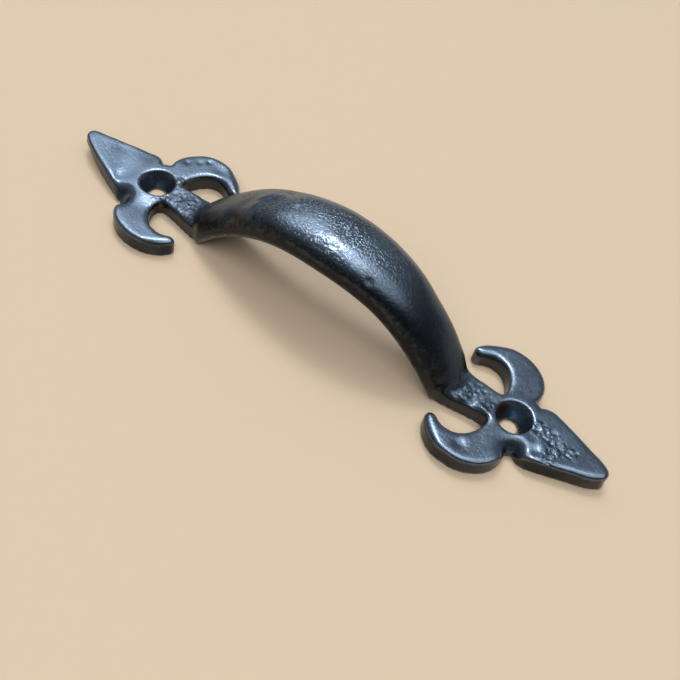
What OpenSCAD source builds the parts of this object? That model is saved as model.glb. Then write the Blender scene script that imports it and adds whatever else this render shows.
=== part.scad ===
// Cabinet pull cast in one piece: a bowed grip between two fleur-de-lis plates.
// The back lies on z = 0, the pull runs along x, and +z points out of the door.
// Lengths are in millimetres.

/* [Overall] */
// Length from spear tip to spear tip
length = 165; // [158:1:190]
// Distance between the two screw holes
hole_spacing = 113; // [106:1:120]
// How far each plate is turned in its own plane about its screw hole, in degrees
plate_turn = 1.7; // [0:0.1:3]

/* [Plates] */
// Thickness of the plates
plate_t = 5; // [4:0.1:7]
// Radius of the rounded top edges
edge_r = 1; // [0.6:0.1:1.4]
// Radius in the inner corners of the outline
corner_r = 0.7; // [0.3:0.1:1.2]

/* [Spears] */
// Width of a spear across its shoulders
spear_w = 16.5; // [14:0.5:19]
// From the screw hole to the centre of the round shoulders
shoulder_x = 7.5; // [6:0.5:10]
// Radius of the round shoulders
shoulder_r = 4.2; // [3:0.1:5.5]
// Radius of the blunt tip
tip_r = 1.8; // [1.5:0.1:3]
// How far the long sides of a spear bow out
belly = 0.4; // [0:0.1:1]
// Width of the waist between a spear and its petals
waist_w = 14.4; // [12:0.2:15.5]

/* [Petals] */
// Width across a pair of petals
petals_w = 38.7; // [35:0.1:42]
// Length of a petal along the pull
petal_len = 21; // [19:0.5:23]
// How far a petal reaches past the screw hole towards the tip
petal_out = 2.9; // [2:0.1:3.5]
// Breadth of a petal at its crest
crest_w = 6.2; // [5:0.1:7.2]
// Breadth of a petal beside the screw hole
flank_w = 7.6; // [7:0.1:8.4]
// Height of the widest place of a petal above the centre line
petal_y = 10.5; // [9:0.1:11.5]
// Length of the opening inside a petal
gap_len = 13.2; // [12:0.1:14]
// Angle at which the outer edge of a horn ends
horn_outer = 163; // [157:1:169]
// Angle at which the inner edge of a horn ends
horn_inner = 125; // [119:1:131]

/* [Neck] */
// Width of the neck beside the screw hole
neck_w = 8; // [7:0.1:9]
// Width of the neck where it meets the grip
foot_w = 11; // [9:0.1:12.5]

/* [Grip] */
// Height of the crown of the grip above the back
grip_h = 28.4; // [24:0.2:36]
// Clear height under the middle of the grip
finger_h = 21; // [16:0.2:22]
// From a screw hole to the place where the line of the crown meets the back
crown_in = 10.8; // [9:0.2:12]
// From a screw hole to the place where the underside leaves the back
foot_in = 19.9; // [18.5:0.1:22]
// Width of the grip at its middle
grip_w = 19.6; // [15:0.2:24]
// Width of the grip at its feet
grip_end_w = 13.8; // [12:0.2:16]
// Fullness of the bow, higher is squarer
bow_power = 2.3; // [2:0.05:2.8]
// Fullness of the section, higher is squarer
section_power = 2.5; // [2:0.1:3.2]
// Radius of the two lower edges of the grip
under_r = 1.6; // [0.8:0.1:2.4]

/* [Screw holes] */
// Diameter of the screw holes
hole_d = 4.6; // [3.5:0.1:5.2]
// Diameter of the countersinks at the top face
sink_d = 9.8; // [8:0.1:10.4]
// Depth of the straight bore below each countersink
land = 0.8; // [0.4:0.1:2]

/* [Hidden] */

iron = [0.17, 0.18, 0.2];
hole_x = hole_spacing / 2;
spear_len = length / 2 - hole_x;
tip_steps = 6;          // steps of the tip, the side and the shoulder of a spear
corner_steps = 4;       // steps of an inner corner of the outline
petal_steps = 20;       // steps along an edge of a petal
horn_steps = 6;         // steps round the end of a horn
neck_steps = 5;         // steps along the neck
dome_steps = 3;         // steps of the rounded top edge
petal_start = -17;      // angle at which a petal leaves the waist
waist_turn = 140;       // angle at which a shoulder meets the waist
root_turn = 10;         // angle at which the edge of an opening turns into its root
horn_fullness = 0.4;    // how square the end of a horn is
neck_end = 0.5;         // how far the neck stops short of the free underside
root_sink = 0.2;        // how far the ends of the grip lie inside the neck
root_min = 1;           // least distance from a foot to the end of the grip beyond it
crest_soft = 0.25;      // how softly the two tapers of the grip meet at its middle

// ellipses of a petal, about the screw hole
outer_rx = petal_len / 2;
outer_ry = petals_w / 2 - petal_y;
outer_c = [petal_out - outer_rx, petal_y];
inner_rx = gap_len / 2;
inner_c = [petal_out - flank_w - inner_rx, neck_w / 2 + corner_r];
neck_x = inner_c[0] + inner_rx - 2 * corner_r;
inner_ry = petals_w / 2 - crest_w - inner_c[1];

// stations and section of the grip
reach = hole_x - crown_in;
foot_x = hole_x - foot_in;
root_x = max(foot_x + root_min, reach * pow(1 - (plate_t - root_sink) / grip_h, 1 / bow_power));
grip_steps = 25;        // stations from the middle of the grip to a foot
widest = 0.38;          // height of the widest place, as a share of the section
crown_steps = 7;        // steps from the side of the grip to its crown
under_steps = 3;        // steps round a lower edge
over = 1;               // how far the holes are cut past the two faces

// half the width of the neck at a share u of its length, and of the grip where it sinks in
function neck_half(u) = (neck_w + (foot_w - neck_w) * (1 - cos(180 * u)) / 2) / 2;
root_u = (hole_x - root_x + neck_x) / (neck_x + foot_in - neck_end);
root_half = neck_half(root_u) - (hole_x - root_x) * sin(plate_turn) - root_sink;

// points on an ellipse about c, from angle a0 to angle a1
function arc(c, rx, ry, a0, a1, steps) = [
    for (i = [0:steps])
        let (a = a0 + (a1 - a0) * i / steps)
            [c[0] + rx * cos(a), c[1] + ry * sin(a)]
];

// points of a curve from p to q that is drawn towards c
function curve(p, c, q, steps) = [
    for (i = [0:steps])
        let (t = i / steps) (1 - t) * (1 - t) * p + 2 * t * (1 - t) * c + t * t * q
];

function unit(v) = v / norm(v);
function inner_points(pts) = [for (i = [1:len(pts) - 2]) pts[i]];

// side of a spear, from the tip round its shoulder
function spear_side() =
    let (
        tip = [spear_len - tip_r, 0],
        heel = [shoulder_x, spear_w / 2 - shoulder_r],
        d = heel - tip,
        lean = atan2(d[1], d[0]) - acos((tip_r - shoulder_r) / norm(d)),
        out = [cos(lean), sin(lean)],
        p = tip + tip_r * out,
        q = heel + shoulder_r * out
    )
    concat(
        arc(tip, tip_r, tip_r, 0, lean, tip_steps),
        inner_points(curve(p, (p + q) / 2 + 2 * belly * out, q, tip_steps)),
        arc(heel, shoulder_r, shoulder_r, lean, waist_turn, tip_steps)
    );

// outer and inner edges of the petal on the +y side, from its base to its horn
function petal_outer() = arc(outer_c, outer_rx, outer_ry, petal_start, horn_outer, petal_steps);
function petal_inner() = arc(inner_c, inner_rx, inner_ry, root_turn, horn_inner, petal_steps);

// round end of a horn, between the two edges of its petal
function horn_end(outer, inner) =
    let (
        n = len(outer) - 1,
        p = outer[n],
        q = inner[n],
        k = norm(p - q) * horn_fullness,
        a = p + k * unit(p - outer[n - 1]),
        b = q + k * unit(q - inner[n - 1])
    )
    inner_points([
        for (i = [0:horn_steps])
            let (t = i / horn_steps, s = 1 - t)
                s * s * s * p + 3 * s * s * t * a + 3 * s * t * t * b + t * t * t * q
    ]);

// edge of the neck, from the opening to the foot of the grip
function neck_side() = [
    for (i = [0:neck_steps])
        let (u = i / neck_steps)
            [neck_x - (neck_x + foot_in - neck_end) * u, neck_half(u)]
];

// half of the outline of a plate, from the tip to the foot of the grip
spear = spear_side();
outer = petal_outer();
inner = petal_inner();
neck = neck_side();
waist = curve(spear[len(spear) - 1], [petal_out + corner_r, waist_w / 2], outer[0], corner_steps);
root = curve(inner[0], [inner[0][0], neck_w / 2], neck[0], corner_steps);
half_outline = concat(
    spear, inner_points(waist), outer, horn_end(outer, inner),
    [for (i = [petal_steps:-1:0]) inner[i]], inner_points(root), neck
);
half_n = len(half_outline);
outline_n = 2 * half_n - 1;
plate_outline = concat(
    half_outline, [for (i = [half_n - 1:-1:1]) [half_outline[i][0], -half_outline[i][1]]]
);

// outline moved inwards by d, corner by corner
function inset(pts, d) =
    let (n = len(pts))
    [
        for (i = [0:n - 1])
            let (
                a = unit(pts[i] - pts[(i + n - 1) % n]),
                b = unit(pts[(i + 1) % n] - pts[i]),
                m = [-a[1] - b[1], a[0] + b[0]]
            )
            pts[i] + d * m / (1 + a * b)
    ];

// faces that close an outline: the spear and the neck across the centre line,
// each petal between its two edges, and the middle round the screw hole
function mirrored(i) = (outline_n - i) % outline_n;
function cap() =
    let (
        base = len(spear) + corner_steps - 1,
        horn = base + petal_steps,
        crotch = horn + horn_steps + petal_steps,
        first = crotch + corner_steps
    )
    concat(
        [[0, 1, mirrored(1)]],
        [for (i = [1:base - 1]) [i, i + 1, mirrored(i + 1), mirrored(i)]],
        [for (i = [first:half_n - 2]) [i, i + 1, mirrored(i + 1), mirrored(i)]],
        [
            for (i = [0:petal_steps - 1])
                let (p = base + i, q = crotch - i)
                    each [[p, p + 1, q - 1, q], [mirrored(p), mirrored(q), mirrored(q - 1), mirrored(p + 1)]]
        ],
        [
            [for (i = [horn:horn + horn_steps]) i],
            [for (i = [horn + horn_steps:-1:horn]) mirrored(i)],
            [for (i = [crotch:first]) i],
            [for (i = [first:-1:crotch]) mirrored(i)],
            [base, crotch, first, mirrored(first), mirrored(crotch), mirrored(base)]
        ]
    );

// one mounting plate with rounded top edges, its hole at the origin and its tip towards +x
module plate() {
    levels = concat([[0, 0]], [
        for (i = [0:dome_steps])
            let (a = 90 * i / dome_steps)
                [edge_r * (1 - cos(a)), plate_t - edge_r + edge_r * sin(a)]
    ]);
    rings = [for (l = levels) [for (p = inset(plate_outline, l[0])) [p[0], p[1], l[1]]]];
    top = (len(levels) - 1) * outline_n;
    polyhedron(
        points = [for (r = rings) each r],
        faces = concat(
            cap(),
            [for (f = cap()) [for (i = [len(f) - 1:-1:0]) top + f[i]]],
            [
                for (i = [0:len(levels) - 2], j = [0:outline_n - 1])
                    let (
                        a = i * outline_n + j,
                        b = i * outline_n + (j + 1) % outline_n,
                        c = b + outline_n,
                        d = a + outline_n
                    )
                    each [[a, c, b], [a, d, c]]
            ]
        )
    );
}

// screw hole with its countersink, open at both faces
module screw_hole() {
    flare = (sink_d - hole_d) / 2 / (plate_t - land);
    rotate_extrude($fn = 48)
        polygon([
            [0, -over], [hole_d / 2, -over], [hole_d / 2, land],
            [sink_d / 2 + flare * over, plate_t + over], [0, plate_t + over]
        ]);
}

// height of a bow h high that meets the back at x = end
function bow(x, h, end) = h * (1 - pow(min(abs(x) / end, 1), bow_power));

// half the width of the grip at x: widest in the middle, drawn in to the neck beyond its feet
function half_w(x) =
    let (
        u = min(abs(x) / foot_x, 1),
        taper = (norm([u, crest_soft]) - crest_soft) / (norm([1, crest_soft]) - crest_soft),
        v = max(abs(x) - foot_x, 0) / (root_x - foot_x),
        w = (grip_w + (grip_end_w - grip_w) * taper) / 2
    )
    w + (root_half - w) * (1 - cos(180 * v)) / 2;

// points of one half section, from the underside to the crown
function half_section(x) =
    let (
        low = bow(x, finger_h, foot_x),
        top = bow(x, grip_h, reach),
        w = half_w(x),
        mid = low + max(widest * (top - low), under_r)
    )
    concat(
        arc([w - under_r, low + under_r], under_r, under_r, -90, 0, under_steps),
        [for (i = [1:crown_steps])
            let (a = 90 * i / crown_steps, k = 2 / section_power)
                [w * pow(cos(a), k), mid + (top - mid) * pow(sin(a), k)]]
    );

function section(x) =
    let (h = half_section(x), n = len(h))
    [
        for (i = [0:n - 1]) [x, h[i][0], h[i][1]],
        for (i = [n - 2:-1:0]) [x, -h[i][0], h[i][1]]
    ];

// bowed grip, lofted through sections that stand across x
module grip() {
    xs = [for (i = [-grip_steps:grip_steps]) root_x * sin(90 * i / grip_steps)];
    rings = [for (x = xs) section(x)];
    m = len(rings[0]);
    last = len(rings) - 1;
    sides = [
        for (i = [0:last - 1], j = [0:m - 1])
            let (a = i * m + j, b = i * m + (j + 1) % m, c = b + m, d = a + m)
                each [[a, c, b], [a, d, c]]
    ];
    ends = [
        [for (j = [0:m - 1]) j],
        [for (j = [m - 1:-1:0]) last * m + j]
    ];
    polyhedron(points = [for (r = rings) each r], faces = concat(sides, ends));
}

module pull() {
    color(iron)
    difference() {
        union() {
            grip();
            for (s = [0, 1])
                mirror([s, 0, 0]) translate([hole_x, 0, 0]) rotate([0, 0, plate_turn]) plate();
        }
        for (s = [-1, 1]) translate([s * hole_x, 0, 0]) screw_hole();
    }
}

pull();
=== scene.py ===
# Cast-iron cabinet pull with fleur-de-lis ends, lying on a pale floor in soft light.
# Shapes are worked out in millimetres in the frame of the part and end up in metres.
from math import acos, atan2, cos, degrees, pi, radians, sin

import bpy
import numpy as np
from mathutils import Matrix, Vector, kdtree, noise


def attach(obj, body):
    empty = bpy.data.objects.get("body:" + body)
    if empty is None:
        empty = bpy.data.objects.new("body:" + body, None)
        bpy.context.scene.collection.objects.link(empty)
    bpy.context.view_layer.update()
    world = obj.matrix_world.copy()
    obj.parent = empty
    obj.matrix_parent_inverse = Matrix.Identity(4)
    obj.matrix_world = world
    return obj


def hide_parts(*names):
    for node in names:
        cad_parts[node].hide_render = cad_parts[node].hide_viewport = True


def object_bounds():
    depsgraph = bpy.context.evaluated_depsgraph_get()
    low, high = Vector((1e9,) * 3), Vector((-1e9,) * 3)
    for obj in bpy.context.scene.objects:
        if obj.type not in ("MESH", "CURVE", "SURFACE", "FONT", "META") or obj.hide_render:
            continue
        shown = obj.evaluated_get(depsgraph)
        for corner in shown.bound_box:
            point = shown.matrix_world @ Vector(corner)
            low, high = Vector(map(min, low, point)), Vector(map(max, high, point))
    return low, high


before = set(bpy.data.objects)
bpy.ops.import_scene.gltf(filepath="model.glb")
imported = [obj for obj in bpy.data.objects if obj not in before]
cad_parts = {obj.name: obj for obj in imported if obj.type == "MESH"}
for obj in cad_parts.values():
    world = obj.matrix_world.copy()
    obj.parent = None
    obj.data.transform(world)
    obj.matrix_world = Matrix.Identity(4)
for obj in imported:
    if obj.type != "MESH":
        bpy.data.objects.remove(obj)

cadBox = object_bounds()
mm = 0.001
faint = 0.01  # a share below this is left out


# Small mesh tools

def newObject(name, points, faces):
    mesh = bpy.data.meshes.new(name)
    mesh.from_pydata([tuple(p) for p in points], [], faces)
    mesh.update()
    made = bpy.data.objects.new(name, mesh)
    bpy.context.scene.collection.objects.link(made)
    return made


def discard(thing):
    mesh = thing.data
    bpy.data.objects.remove(thing)
    bpy.data.meshes.remove(mesh)


def settle(thing):  # turns the modifiers of a piece into its mesh
    graph = bpy.context.evaluated_depsgraph_get()
    mesh = bpy.data.meshes.new_from_object(thing.evaluated_get(graph))
    thing.modifiers.clear()
    old = thing.data
    thing.data = mesh
    bpy.data.meshes.remove(old)


def modify(thing, kind, **settings):
    made = thing.modifiers.new(kind.title(), kind)
    for name, value in settings.items():
        setattr(made, name, value)
    settle(thing)


def tube(name, points, count):  # closed skin over rings of count points each
    rings = len(points) // count
    faces = [list(range(count))[::-1], list(range((rings - 1) * count, rings * count))]
    for i in range(rings - 1):
        for j in range(count):
            k = (j + 1) % count
            faces.append([i * count + j, i * count + k, (i + 1) * count + k, (i + 1) * count + j])
    return newObject(name, points, faces)


def join(name, things):  # one object that holds the closed shells of several
    points, faces = [], []
    for thing in things:
        start = len(points)
        points += [tuple(v.co) for v in thing.data.vertices]
        faces += [[start + i for i in p.vertices] for p in thing.data.polygons]
    for thing in things:
        discard(thing)
    return newObject(name, points, faces)


def readVectors(rows, field):
    flat = np.empty(len(rows) * 3, np.float32)
    rows.foreach_get(field, flat)
    return flat.reshape(-1, 3).astype(float)


def readPoints(mesh):
    return readVectors(mesh.vertices, "co")


def readNormals(mesh):
    return readVectors(mesh.vertex_normals, "vector")


def writePoints(mesh, points):
    mesh.vertices.foreach_set("co", points.astype(np.float32).ravel())
    mesh.update()


# Plates

plate = {
    "length": 165, "holeSpacing": 113, "turn": 1.7, "thickness": 5, "edge": 0.7, "corner": 0.7,
    "spearWidth": 16.5, "shoulderX": 7.5, "shoulder": 4.2, "tip": 1.8, "belly": 0.4,
    "waist": 14.4, "waistTurn": 140,
    "petalsWidth": 38.7, "petalLength": 21, "petalOut": 2.9, "petalY": 10.5, "petalStart": -17,
    "crest": 6.2, "flank": 7.6, "gapLength": 13.2,
    "hornOuter": 163, "hornInner": 125, "hornFullness": 0.4,
    "neckWidth": 8, "neckEnd": 0.5, "footWidth": 11, "footIn": 19.9, "rootTurn": 10,
    "holeWidth": 4.6, "sinkWidth": 9.8, "land": 0.8, "overcut": 1,
    "sideSteps": 16, "cornerSteps": 6, "petalSteps": 60, "hornSteps": 6, "domeSteps": 5,
    "holeSides": 64,
}
holeX = plate["holeSpacing"] / 2


def arcPoints(centre, rx, ry, start, end, steps):
    turns = np.radians(np.linspace(start, end, steps + 1))
    return np.stack([centre[0] + rx * np.cos(turns), centre[1] + ry * np.sin(turns)], 1)


def bend(p, pull, q, steps):  # curve from p to q, drawn towards pull
    t = np.linspace(0, 1, steps + 1)[:, None]
    return (1 - t) ** 2 * p + 2 * t * (1 - t) * pull + t ** 2 * q


def unit(v):
    return v / np.linalg.norm(v, axis=-1, keepdims=True)


def halfOutline(p):  # from the spear's tip round one petal to the neck
    tip = np.array([p["length"] / 2 - holeX - p["tip"], 0])
    heel = np.array([p["shoulderX"], p["spearWidth"] / 2 - p["shoulder"]])
    run = heel - tip
    lean = atan2(run[1], run[0]) - acos((p["tip"] - p["shoulder"]) / np.hypot(*run))
    out = np.array([cos(lean), sin(lean)])
    a, b = tip + p["tip"] * out, heel + p["shoulder"] * out
    lean = degrees(lean)
    spear = np.vstack([
        arcPoints(tip, p["tip"], p["tip"], 0, lean, p["sideSteps"]),
        bend(a, (a + b) / 2 + 2 * p["belly"] * out, b, p["sideSteps"])[1:-1],
        arcPoints(heel, p["shoulder"], p["shoulder"], lean, p["waistTurn"], p["sideSteps"]),
    ])
    outerX = p["petalLength"] / 2
    outerY = p["petalsWidth"] / 2 - p["petalY"]
    outer = arcPoints((p["petalOut"] - outerX, p["petalY"]), outerX, outerY,
                      p["petalStart"], p["hornOuter"], p["petalSteps"])
    innerX, innerY = p["gapLength"] / 2, p["neckWidth"] / 2 + p["corner"]
    middle = p["petalOut"] - p["flank"] - innerX
    inner = arcPoints((middle, innerY), innerX, p["petalsWidth"] / 2 - p["crest"] - innerY,
                      p["rootTurn"], p["hornInner"], p["petalSteps"])
    reachOut = np.linalg.norm(outer[-1] - inner[-1]) * p["hornFullness"]
    a = outer[-1] + reachOut * unit(outer[-1] - outer[-2])
    b = inner[-1] + reachOut * unit(inner[-1] - inner[-2])
    t = np.linspace(0, 1, p["hornSteps"] + 1)[1:-1, None]
    horn = ((1 - t) ** 3 * outer[-1] + 3 * (1 - t) ** 2 * t * a
            + 3 * (1 - t) * t ** 2 * b + t ** 3 * inner[-1])
    neckX = middle + innerX - 2 * p["corner"]
    u = np.linspace(0, 1, p["cornerSteps"] * 2)
    swell = (1 - np.cos(pi * u)) / 2
    neck = np.stack([neckX - (neckX + p["footIn"] - p["neckEnd"]) * u,
                     (p["neckWidth"] + (p["footWidth"] - p["neckWidth"]) * swell) / 2], 1)
    pull = np.array([p["petalOut"] + p["corner"], p["waist"] / 2])
    waist = bend(spear[-1], pull, outer[0], p["cornerSteps"])
    pull = np.array([inner[0][0], p["neckWidth"] / 2])
    root = bend(inner[0], pull, neck[0], p["cornerSteps"])
    return np.vstack([spear, waist[1:-1], outer, horn, inner[::-1], root[1:-1], neck])


def inset(points, depth):  # outline moved inwards, corner by corner
    a = unit(points - np.roll(points, 1, 0))
    b = unit(np.roll(points, -1, 0) - points)
    inward = np.stack([-a[:, 1] - b[:, 1], a[:, 0] + b[:, 0]], 1)
    return points + depth * inward / (1 + (a * b).sum(1, keepdims=True))


def plateSolid(p):
    half = halfOutline(p)
    outline = np.vstack([half, half[:0:-1] * (1, -1)])
    count = len(outline)
    levels = [(0, 0)]
    for i in range(p["domeSteps"] + 1):
        turn = pi / 2 * i / p["domeSteps"]
        levels.append((p["edge"] * (1 - cos(turn)), p["thickness"] - p["edge"] * (1 - sin(turn))))
    rings = [np.column_stack([inset(outline, d), np.full(count, z)]) for d, z in levels]
    return tube("plate", np.vstack(rings), count)


def screwCutter(p):
    over, sides = p["overcut"], p["holeSides"]
    flare = (p["sinkWidth"] - p["holeWidth"]) / 2 / (p["thickness"] - p["land"])
    profile = [(p["holeWidth"] / 2, -over), (p["holeWidth"] / 2, p["land"]),
               (p["sinkWidth"] / 2 + flare * over, p["thickness"] + over)]
    turns = [2 * pi * j / sides for j in range(sides)]
    return tube("cutter", [(r * cos(t), r * sin(t), z) for r, z in profile for t in turns], sides)


def placedPlate(side):  # side is 1 for the right end and -1 for the left one
    made, cutter = plateSolid(plate), screwCutter(plate)
    made.data.transform(Matrix.Rotation(radians(plate["turn"]), 4, "Z"))
    modify(made, "BOOLEAN", operation="DIFFERENCE", solver="EXACT", object=cutter)
    discard(cutter)
    made.data.transform(Matrix.Translation((holeX, 0, 0)))
    if side < 0:
        made.data.transform(Matrix.Diagonal((-1, 1, 1, 1)))
        made.data.flip_normals()
    return made


# Grip

grip = {
    "height": 28.4, "finger": 21, "crownIn": 10.8, "footIn": 19.9, "width": 19.6, "endWidth": 13.8,
    "bow": 2.3, "fullness": 2.5, "under": 1.6, "widest": 0.38, "crestSoft": 0.25, "sink": 0.2,
    "stations": 70, "crownSteps": 18, "underSteps": 5,
}


def gripSolid(g, p):
    reachX, footX = holeX - g["crownIn"], holeX - g["footIn"]
    rootX = reachX * (1 - (p["thickness"] - g["sink"]) / g["height"]) ** (1 / g["bow"])
    neckX = p["petalOut"] - p["flank"] - 2 * p["corner"]
    share = (holeX - rootX + neckX) / (neckX + p["footIn"] - p["neckEnd"])
    widened = (p["footWidth"] - p["neckWidth"]) * (1 - cos(pi * share)) / 2
    neckHalf = (p["neckWidth"] + widened) / 2
    rootHalf = neckHalf - (holeX - rootX) * sin(radians(p["turn"])) - g["sink"]
    fullTaper = np.hypot(1, g["crestSoft"]) - g["crestSoft"]
    points = []
    for x in rootX * np.sin(np.linspace(-pi / 2, pi / 2, 2 * g["stations"] + 1)):
        low = g["finger"] * (1 - min(abs(x) / footX, 1) ** g["bow"])
        top = g["height"] * (1 - (abs(x) / reachX) ** g["bow"])
        taper = (np.hypot(min(abs(x) / footX, 1), g["crestSoft"]) - g["crestSoft"]) / fullTaper
        half = (g["width"] + (g["endWidth"] - g["width"]) * taper) / 2
        v = max(abs(x) - footX, 0) / (rootX - footX)
        half += (rootHalf - half) * (1 - cos(pi * v)) / 2
        mid = low + max(g["widest"] * (top - low), g["under"])
        centre = half - g["under"], low + g["under"]
        rounding = arcPoints(centre, g["under"], g["under"], -90, 0, g["underSteps"])
        side = [tuple(q) for q in rounding]
        for i in range(1, g["crownSteps"] + 1):
            turn, k = pi / 2 * i / g["crownSteps"], 2 / g["fullness"]
            side.append((half * max(cos(turn), 0) ** k, mid + (top - mid) * sin(turn) ** k))
        points += [(x, y, z) for y, z in side] + [(x, -y, z) for y, z in side[-2::-1]]
    return tube("grip", points, 2 * (g["underSteps"] + g["crownSteps"]) + 1)


# Casting: one skin over the grip and both plates, with its unevenness

casting = {
    "voxel": 0.34, "voxelQuick": 0.6, "smoothing": 3, "relax": 0.5, "swell": 0.3,
    "topFrom": 1.5, "topFade": 2, "topHoleKeep": 6, "topMost": 0.8, "topSteps": 2,
    "creaseX": 42, "creaseZ": 6.5, "creaseLong": 2.6, "creaseHigh": 2.8, "creaseFull": 1.6,
    "creaseFloor": 2, "creaseSteps": 70,  # the grip's root flows into the neck
    "domeReach": 2.0, "domeDepth": 0.22, "domeFrom": 3.2, "domeTo": 5.6,
    "domeAcross": (6, 2), "domeAlong": (50, 4),  # where it starts and how far it fades in
    "wallTilt": 0.5, "wallLow": 1.5, "wallHigh": 3.5, "wallHoleKeep": 5.3,
    "tipStart": -64, "tipEnd": -80, "tipBow": 1.5,  # the left tip is thinner and bends up
    "tipLift": 0.9, "tipThin": 2.2,
    "shifts": [  # place, radius and move of each part that the mould left out of true
        ((30, 0, 18), 24, (0, 0.5, 0)), ((49, -16, 3), 8, (-0.5, -0.5, 0)),
        ((46, 16, 3), 4, (0.5, 0, 0)), ((-50, -17, 3), 8, (-0.2, 0.5, 0)),
        ((-44, 16, 3), 5, (-0.9, 0, 0)), ((-52, 17, 3), 7, (0, 0.3, 0)),
        ((-82, 2, 4), 3, (0, 0.6, 0)), ((83, 0, 3), 3, (-0.6, 0, 0)),
        ((79.5, 3.4, 3), 3, (0.1, 0.5, 0)), ((79.5, -3.4, 3), 3, (0.1, -0.5, 0)),
        ((-60.7, -7.4, 2), 2.6, (-0.8, -2.3, 0)), ((-61, -11, 5), 5, (0, 0, -0.3)),
        ((-52.5, -8.5, 5), 4.5, (0, 0, -0.55)), ((-48, -14, 5), 6.5, (0, 0, -0.4)),
        ((-72, 4.5, 5), 3, (0, 0, -0.3)), ((-66, 7, 5), 3.5, (0, 0, -0.45)),
        ((60.5, 7.2, 3), 2.2, (0, 0.7, 0)), ((60.3, -7.4, 3), 2, (0, -0.5, 0)),
        ((-60.5, -7.4, 3), 2.2, (0, -0.7, 0)),
    ],
    "pinches": [  # place, radius and share of each notch that slopes down to the outline
        ((-61.1, -10.3), 2.8, 0.78), ((60.8, -8.2), 2.5, 0.62),
    ],
    "waves": [(15, 0.42, 3), (5, 0.07, 17), (1.6, 0.004, 41)],  # size, depth and seed of each noise
    "dents": [  # place, radius and depth of each hollow, or of a bump where it is negative
        ((-65.6, -5.4, 5), 2.2, 0.35), ((-66.5, -1.5, 5), 5.0, 0.30), ((-72.5, 2.5, 5), 4.0, 0.15),
        ((-56.1, 11.8, 5), 0.8, 0.18), ((-51.7, 16.2, 5), 0.9, 0.20), ((-53.5, 14.2, 5), 0.8, 0.14),
        ((-57.5, 14.5, 5), 3.2, 0.25), ((-47.2, 15.8, 5), 2.6, 0.30),
        ((64.6, -4.8, 5), 1.7, 0.35), ((63.1, -2.0, 5), 1.6, 0.20),
        ((43.6, -3.5, 5), 0.9, -0.25), ((45.2, -3.3, 5), 0.8, -0.22), ((48.6, -3.0, 5), 0.9, -0.28),
        ((50.0, -3.3, 5), 0.8, -0.22),
        ((49.6, -15.6, 5), 1.6, 0.25), ((46.6, -4.4, 5), 2.0, 0.45), ((42.8, -4.6, 5), 1.5, 0.30),
        ((-25.6, -2.4, 20.4), 2.0, 0.30), ((-18.0, 4.4, 25), 2.6, 0.40),
        ((13.1, -6.9, 25.6), 1.1, 0.28), ((1.7, -5.4, 27.9), 1.0, 0.14), ((-2.0, 4.2, 28.1), 1.3, 0.18),
        ((-26.6, -7.2, 17.0), 2.6, 0.70), ((-28.0, 0.0, 18.6), 3.0, 0.20),
        ((-21.0, -5.6, 22.3), 1.2, -0.16), ((-22.6, -3.2, 22.2), 1.3, -0.20),
        ((-23.2, -0.4, 22.2), 1.3, -0.20), ((-21.6, 1.4, 23.2), 1.3, -0.18),
        ((-19.0, 2.4, 24.4), 1.2, -0.15), ((-13.6, 0.7, 26.6), 1.0, -0.16),
        ((-19.4, -1.8, 24.4), 2.4, 0.28), ((26.8, 6.2, 18.5), 4.5, 0.30),
    ],
    "patches": [  # place, radius and depth of each rough place
        ((-51.6, -2.8, 5), 3.4, 0.14), ((-52.6, 3.8, 5), 2.8, 0.13), ((-45.5, -1.0, 5), 5.6, 0.13),
        ((49.6, -1.6, 5), 2.8, 0.13), ((44.6, -1.5, 5), 4.4, 0.13),
        ((62.4, 1.5, 5), 1.9, 0.26), ((65.2, 1.3, 5), 1.9, 0.30), ((68.0, 0.6, 5), 2.1, 0.34),
        ((68.6, -2.4, 5), 1.7, 0.30), ((68.9, -5.4, 5), 1.6, 0.30), ((72.2, 0.0, 5), 1.6, 0.26),
        ((0.5, -4.6, 28), 5.0, 0.05),
    ],
    "patchEdge": 3, "lumps": (1.15, 71, 2.2), "crumbs": (0.8, 90, 0.9),  # size, seed and share
    "lumpRange": (-0.2, 1.4),
    "upFrom": 0.1, "upFade": 0.5,  # dents and patches are on faces that look up
    "wearReach": 14, "wearDepth": 0.12, "roughLeast": 0.004, "roughDepth": 0.25,
}


def noiseAt(points, size, seed):
    return np.array([noise.noise(Vector(p)) for p in points / size + seed])


def soften(thing, weights, times):
    group = thing.vertex_groups.new(name="soft")
    for i in np.flatnonzero(weights > faint):
        group.add([int(i)], float(weights[i]), "REPLACE")
    modify(thing, "SMOOTH", factor=casting["relax"], iterations=times, vertex_group="soft")
    thing.vertex_groups.clear()


def rise(values, start, run):  # from 0 at start to 1 at start + run
    return np.clip((values - start) / run, 0, 1)


def nearness(points, place, radius, power=2):  # 1 at the place, fading out over the radius
    return np.exp(-(np.linalg.norm(points - place, axis=1) / radius) ** power)


def holeDistance(points):
    return np.hypot(np.abs(points[:, 0]) - holeX, points[:, 1])


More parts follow.
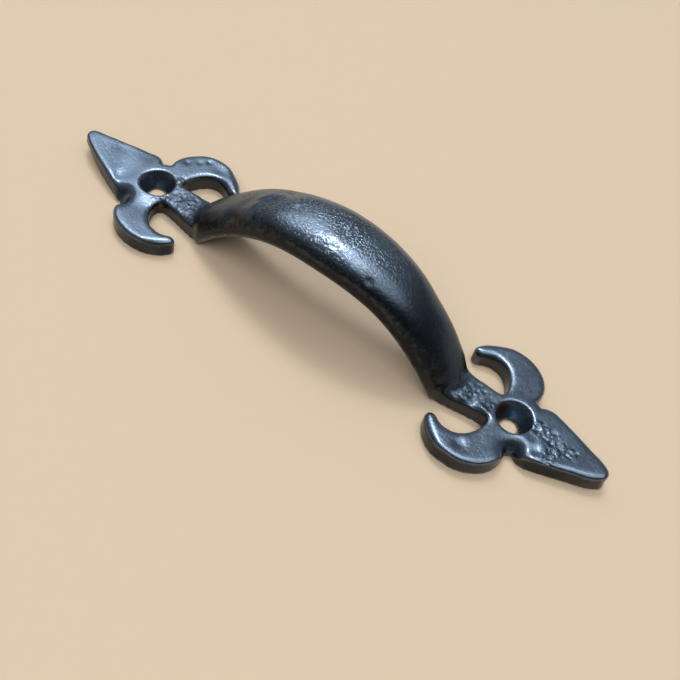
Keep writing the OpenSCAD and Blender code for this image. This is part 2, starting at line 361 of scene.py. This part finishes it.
def dome(points, normals, c):  # lowers the top of each plate towards its outline
    height, sideways = points[:, 2], np.abs(normals[:, 2]) < c["wallTilt"]
    wall = sideways & (height > c["wallLow"]) & (height < c["wallHigh"])
    edge = points[wall & (holeDistance(points) > c["wallHoleKeep"])]
    tree = kdtree.KDTree(len(edge))
    for i, (x, y, z) in enumerate(edge):
        tree.insert((x, y, 0), i)
    tree.balance()
    across, along = np.abs(points[:, 1]), np.abs(points[:, 0])
    share = np.maximum(rise(across, *c["domeAcross"]), rise(along, *c["domeAlong"]))
    share *= rise(height, c["domeFrom"], 1) * (height < c["domeTo"])
    for i in np.flatnonzero(share > faint):
        x, y, z = points[i]
        near = max(1 - tree.find((x, y, 0))[2] / c["domeReach"], 0)
        points[i, 2] -= c["domeDepth"] * share[i] * near ** 2


def distort(points, c):  # moves what the mould left out of true
    for place, radius, move in c["shifts"]:
        points += nearness(points, place, radius)[:, None] * move
    for place, radius, share in c["pinches"]:
        points[:, 2] *= 1 - share * nearness(points[:, :2], place, radius)
    t = rise(points[:, 0], c["tipStart"], c["tipEnd"] - c["tipStart"]) ** c["tipBow"]
    points[:, 2] += t * (c["tipLift"] + c["tipThin"] * (1 - points[:, 2] / plate["thickness"]))


def convexity(skin, points, normals, c):  # positive where edges stand out
    copy = skin.copy()
    copy.data = skin.data.copy()
    bpy.context.scene.collection.objects.link(copy)
    modify(copy, "SMOOTH", factor=c["relax"], iterations=c["wearReach"])
    stands = ((points - readPoints(copy.data)) * normals).sum(1)
    discard(copy)
    return stands


def weather(points, normals, c):  # depth of the uneven surface, and how rough it is
    upward = rise(normals[:, 2], c["upFrom"], c["upFade"])
    depth = np.full(len(points), -c["swell"])
    for size, most, seed in c["waves"]:
        depth += most * (noiseAt(points, size, seed) * 0.5 + 0.5)
    for place, radius, most in c["dents"]:
        depth += most * nearness(points, place, radius) * upward
    rough = np.zeros(len(points))
    for place, radius, most in c["patches"]:
        rough = np.maximum(rough, most * nearness(points, place, radius, c["patchEdge"]) * upward)
    near = rough > c["roughLeast"]
    (size, seed, share), (fineSize, fineSeed, fineShare) = c["lumps"], c["crumbs"]
    lumps = (np.abs(noiseAt(points[near], size, seed)) * share
             + noiseAt(points[near], fineSize, fineSeed) * fineShare)
    depth[near] += rough[near] * np.clip(lumps, *c["lumpRange"])
    return depth, rough


def castingSkin(c, things):
    skin = join("pullCasting", things)
    voxel = c["voxel"]
    modify(skin, "REMESH", mode="VOXEL", voxel_size=voxel, use_smooth_shade=True)
    modify(skin, "SMOOTH", factor=c["relax"], iterations=c["smoothing"])
    points = readPoints(skin.data)
    besideHole = np.minimum(rise(holeDistance(points), c["topHoleKeep"], c["topFade"]), c["topMost"])
    soften(skin, rise(points[:, 2], c["topFrom"], c["topFade"]) * besideHole, c["topSteps"])
    along = (np.abs(points[:, 0]) - c["creaseX"]) / c["creaseLong"]
    up = (points[:, 2] - c["creaseZ"]) / c["creaseHigh"]
    crease = np.clip(c["creaseFull"] - np.hypot(along, up), 0, 1)
    soften(skin, crease * (points[:, 2] > c["creaseFloor"]), c["creaseSteps"])
    points, normals = readPoints(skin.data), readNormals(skin.data)
    dome(points, normals, c)
    distort(points, c)
    writePoints(skin.data, points)
    normals = readNormals(skin.data)
    wear = convexity(skin, points, normals, c)
    depth, rough = weather(points, normals, c)

    points -= normals * depth[:, None]
    low, high = (np.array(corner) / mm for corner in cadBox)
    writePoints(skin.data, np.clip(points, low, high) * mm)
    wear, rough = np.clip(wear / c["wearDepth"], -1, 1), np.clip(rough / c["roughDepth"], 0, 1)
    for name, values in (("wear", wear), ("rough", rough)):
        layer = skin.data.attributes.new(name, "FLOAT", "POINT")
        layer.data.foreach_set("value", values.astype(np.float32))
    skin.data.shade_smooth()
    return skin


# Shader tools

class Wire:  # an output socket that can be used in sums
    def __init__(self, shader, socket):
        self.shader, self.socket = shader, socket

    def math(self, operation, *values, clamp=False):
        return self.shader.node("ShaderNodeMath", {"operation": operation, "use_clamp": clamp},
                                dict(enumerate(values)))

    def __add__(self, other): return self.math("ADD", self, other)
    def __radd__(self, other): return self.math("ADD", other, self)
    def __sub__(self, other): return self.math("SUBTRACT", self, other)
    def __mul__(self, other): return self.math("MULTIPLY", self, other)
    def __rmul__(self, other): return self.math("MULTIPLY", other, self)
    def clamped(self): return self.math("ADD", self, 0.0, clamp=True)


class Shader:  # the nodes of one material or world
    def __init__(self, owner):
        owner.use_nodes = True
        self.owner, self.tree = owner, owner.node_tree
        self.tree.nodes.clear()

    def node(self, kind, settings=None, inputs=None, output=0):
        made = self.tree.nodes.new(kind)
        for name, value in (settings or {}).items():
            if name == "stops":
                ramp = made.color_ramp
                while len(ramp.elements) < len(value):
                    ramp.elements.new(0.5)
                for stop, (place, level) in zip(ramp.elements, value):
                    stop.position, stop.color = place, (level, level, level, 1)
            else:
                setattr(made, name, value)
        for name, value in (inputs or {}).items():
            if isinstance(value, Wire):
                self.tree.links.new(value.socket, made.inputs[name])
            else:
                made.inputs[name].default_value = value
        return Wire(self, made.outputs[output]) if made.outputs else None

    def mix(self, amount, a, b):  # mixes two colours
        a, b = ((*c, 1) if isinstance(c, tuple) else c for c in (a, b))
        return self.node("ShaderNodeMix", {"data_type": "RGBA"}, {0: amount, 6: a, 7: b}, 2)

    def noise(self, place, size, detail=2):  # size in millimetres
        return self.node("ShaderNodeTexNoise", {}, {
            "Vector": place, "Scale": 1 / mm / size, "Detail": detail})

    def ramp(self, value, *stops):
        return self.node("ShaderNodeValToRGB", {"stops": stops}, {"Fac": value})

    def axis(self, vector, index):
        return self.node("ShaderNodeSeparateXYZ", {}, {0: vector}, index)

    def distance(self, a, b):
        return self.node("ShaderNodeVectorMath", {"operation": "DISTANCE"}, {0: a, 1: b}, 1)


# Finishes: the iron's colour holds painted light on upward faces and painted shade on its sides

iron = {
    # dark and wall are painted shade on the sides; top, flank and crown are painted light on upward
    # faces
    "dark": (0.013, 0.015, 0.018), "wall": (0.066, 0.069, 0.082), "top": (0.152, 0.202, 0.270),
    "flank": (0.092, 0.122, 0.166), "crown": (0.175, 0.222, 0.280), "worn": (0.30, 0.36, 0.43),
    "rust": (0.10, 0.030, 0.015), "rustPlace": (0.0524, 0.0012, 0.0030), "rustReach": 0.0028,
    "rustFade": ((0.35, 1), (1.0, 0)),
    "plateHeight": 0.0075, "plateFade": ((0.7, 1), (1.0, 0)),
    "wallHeight": 0.010, "wallFade": ((0.15, 1), (0.5, 0.4), (1.0, 0)),
    "crownHeight": 0.027, "crownFade": ((0.72, 0), (0.98, 1)),
    "holePlace": (0.0565, 0, 0.0025), "sinkReach": 0.0065, "sinkFade": ((0.8, 1), (1.0, 0)),
    "plateLift": 0.11, "sinkLift": 0.18, "facing": ((0.48, 0), (0.92, 1)),  # slopes on the plates and in the screw sinks are painted with the lit top colour
    "wallClouds": ((0.35, 0.35), (0.6, 1)), "topLeast": 0.6, "topClouds": 0.7,
    "roughRim": ((0.15, 0), (0.5, 1), (1.0, 0)), "roughDark": 0.6, "wornShare": 0.6, "rustShare": 0.85,
    "wearGain": 1.2, "wearFrom": 0.15, "wearBreak": 0.5,
    "metallic": 0.92, "roughness": 0.27, "roughClouds": 0.16, "roughGrain": 0.16,
    "wornGloss": 0.08, "crownGloss": 0.08, "rustDull": 0.2,
    "cloudSize": 14, "grainSize": 1.4, "pitSize": 0.65, "fineSize": 0.3,
    "relief": 0.00006, "bump": 0.9, "pitStops": ((0.34, 0), (0.50, 1)),
    "pits": (0.25, 0.8, 0.6), "grain": (0.3, 1.5), "fine": 0.3,  # everywhere, rough places, crown
}


def ironFinish(f):
    s = Shader(bpy.data.materials.new("blackIron"))
    place = s.node("ShaderNodeTexCoord", output=3)
    height = s.axis(place, 2)
    normal = s.axis(s.node("ShaderNodeNewGeometry", output=1), 2)
    wear = s.node("ShaderNodeAttribute", {"attribute_name": "wear"}, output=2)
    rough = s.node("ShaderNodeAttribute", {"attribute_name": "rough"}, output=2)
    broad, grain = s.noise(place, f["cloudSize"]), s.noise(place, f["grainSize"], 3)
    speckle, fine = s.noise(place, f["pitSize"]), s.noise(place, f["fineSize"])

    onPlate = s.ramp(height * (1 / f["plateHeight"]), *f["plateFade"])
    low = s.ramp(height * (1 / f["wallHeight"]), *f["wallFade"])
    crown = s.ramp(height * (1 / f["crownHeight"]), *f["crownFade"])
    even = s.node("ShaderNodeVectorMath", {"operation": "ABSOLUTE"}, {0: place})
    inSink = s.ramp(s.distance(even, f["holePlace"]) * (1 / f["sinkReach"]), *f["sinkFade"])
    # painted light: how far each face counts as lit because it looks up, raised on the plates and in
    # the screw sinks
    lifted = normal + onPlate * f["plateLift"] + inSink * f["sinkLift"]
    paintedLightShare = s.ramp(lifted, *f["facing"])
    worn = (wear * f["wearGain"] - f["wearFrom"] + (grain - 0.5) * f["wearBreak"]).clamped()
    rust = s.ramp(s.distance(place, f["rustPlace"]) * (1 / f["rustReach"]), *f["rustFade"])
    rust = rust * f["rustShare"]

    # lit colour painted on upward faces: lighter on the plates, darker on the grip's flanks as painted
    # shade, lightest on the crown, which is partly rubbed polish and partly a painted highlight
    top = s.mix(crown, s.mix(onPlate, f["flank"], f["top"]), f["crown"])
    # painted shade on the sides: near black higher up, a lighter wall colour near the floor, with
    # random clouds
    color = s.mix(low * s.ramp(broad, *f["wallClouds"]), f["dark"], f["wall"])
    # painted light and shade: faces that look up get the lighter top colour, the sides keep their dark
    # colour, varied at random by broad noise
    color = s.mix(paintedLightShare * (f["topLeast"] + broad * f["topClouds"]), color, top)
    rim = s.ramp(rough, *f["roughRim"])  # darkest half way up a rough place
    color = s.mix(rim * f["roughDark"], color, f["dark"])
    color = s.mix(worn * f["wornShare"], color, f["worn"])
    color = s.mix(rust, color, f["rust"])

    roughness = (f["roughness"] + (broad - 0.5) * f["roughClouds"] + (grain - 0.5) * f["roughGrain"]
                 - worn * f["wornGloss"] - crown * f["crownGloss"] + rust * f["rustDull"])
    (pitsAll, pitsRough, pitsCrown), (grainAll, grainRough) = f["pits"], f["grain"]
    pits = s.ramp(speckle, *f["pitStops"]) * (pitsAll + rough * pitsRough + crown * pitsCrown)
    relief = pits + fine * f["fine"] + grain * (grainAll + rough * grainRough)
    bump = s.node("ShaderNodeBump", {}, {
        "Strength": f["bump"], "Distance": f["relief"], "Height": relief})
    surface = s.node("ShaderNodeBsdfPrincipled", {}, {
        "Base Color": color, "Metallic": f["metallic"], "Roughness": roughness, "Normal": bump})
    s.node("ShaderNodeOutputMaterial", {}, {"Surface": surface})
    return s.owner


# Stage: floor, lamps and camera

stage = {
    "floor": (0.73, 0.575, 0.41), "floorSize": 3, "floorDrop": 0.00005, "floorRoughness": 0.9,
    "world": (0.86, 0.93, 1.0), "dim": 0.04, "bright": 0.29,
    "brightSide": (-0.25, 0.43, 0.87), "brightFrom": 0.65,
    "backdrop": (0.68, 0.67, 0.65), "backdropTop": ((0.06, 1), (0.22, 0)),  # a band round the horizon
    "lampDistance": 3.6,
    "lamps": [  # name, azimuth, elevation, size, watts, colour
        ("window", 144, 48, 2.0, 17.5, (0.86, 0.93, 1.0)),
        ("core", 129, 65, 0.88, 29, (0.96, 0.98, 1.0)),
        ("top", 95, 76, 1.8, 16, (0.90, 0.95, 1.0)),
        ("overhead", 15, 70, 3.0, 21.5, (0.90, 0.95, 1.0)),
        ("fill", 275, 60, 3.2, 64, (1.0, 0.98, 0.95)),
    ],
}
camera = {
    "place": (0.06547, -0.14464, 0.18288), "turn": (38.247, -10.256, 35.003),
    "lens": 49.37, "shift": (0.0047, -0.0063), "clip": (0.005, 20),
}


def buildFloor(s):
    half, z = s["floorSize"] / 2, -s["floorDrop"]
    corners = [(-half, -half, z), (half, -half, z), (half, half, z), (-half, half, z)]
    floor = newObject("floor", corners, [(0, 1, 2, 3)])
    paint = Shader(bpy.data.materials.new("floorPaint"))
    surface = paint.node("ShaderNodeBsdfPrincipled", {}, {
        "Base Color": (*s["floor"], 1), "Roughness": s["floorRoughness"]})
    paint.node("ShaderNodeOutputMaterial", {}, {"Surface": surface})
    floor.data.materials.append(paint.owner)


def buildLamps(s):
    for name, azimuth, elevation, size, watts, color in s["lamps"]:
        lamp = bpy.data.lights.new(name, "AREA")
        lamp.shape, lamp.size, lamp.energy, lamp.color = "DISK", size, watts, color
        made = bpy.data.objects.new(name, lamp)
        a, e = radians(azimuth), radians(elevation)
        towards = Vector((cos(e) * cos(a), cos(e) * sin(a), sin(e)))
        made.location = towards * s["lampDistance"]
        made.rotation_euler = towards.to_track_quat("Z", "Y").to_euler()
        made.visible_glossy = name != "fill"  # the fill only lightens the shadow
        bpy.context.scene.collection.objects.link(made)


def buildWorld(s):
    bpy.context.scene.world = bpy.data.worlds.new("studio")
    sky = Shader(bpy.context.scene.world)
    ray = sky.node("ShaderNodeTexCoord")
    side = sky.node("ShaderNodeVectorMath", {"operation": "DOT_PRODUCT"},
                    {0: ray, 1: s["brightSide"]}, 1)
    share = sky.ramp(side * 0.5 + 0.5, (s["brightFrom"], 0), (1.0, 1))
    level = s["dim"] + (s["bright"] - s["dim"]) * share
    light = sky.node("ShaderNodeBackground", {}, {"Color": (*s["world"], 1), "Strength": level})
    backdrop = sky.node("ShaderNodeBackground", {}, {"Color": (*s["backdrop"], 1)})
    low = sky.ramp(sky.axis(ray, 2), *s["backdropTop"])
    surface = sky.node("ShaderNodeMixShader", {}, {0: low, 1: light, 2: backdrop})
    sky.node("ShaderNodeOutputWorld", {}, {"Surface": surface})


def buildCamera(c):
    lens = bpy.data.cameras.new("camera")
    lens.lens, (lens.shift_x, lens.shift_y) = c["lens"], c["shift"]
    lens.clip_start, lens.clip_end = c["clip"]
    made = bpy.data.objects.new("camera", lens)
    made.location = c["place"]
    made.rotation_euler = [radians(t) for t in c["turn"]]
    bpy.context.scene.collection.objects.link(made)
    bpy.context.scene.camera = made


print("stage")
buildCamera(camera)
buildFloor(stage)
buildLamps(stage)
buildWorld(stage)
bpy.context.scene.view_settings.view_transform = "Standard"

print("casting")
pull = castingSkin(casting, [gripSolid(grip, plate), placedPlate(1), placedPlate(-1)])
print("finish")
pull.data.materials.clear()
pull.data.materials.append(ironFinish(iron))
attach(pull, "root")
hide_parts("pull")

print("done", len(pull.data.polygons), "faces")
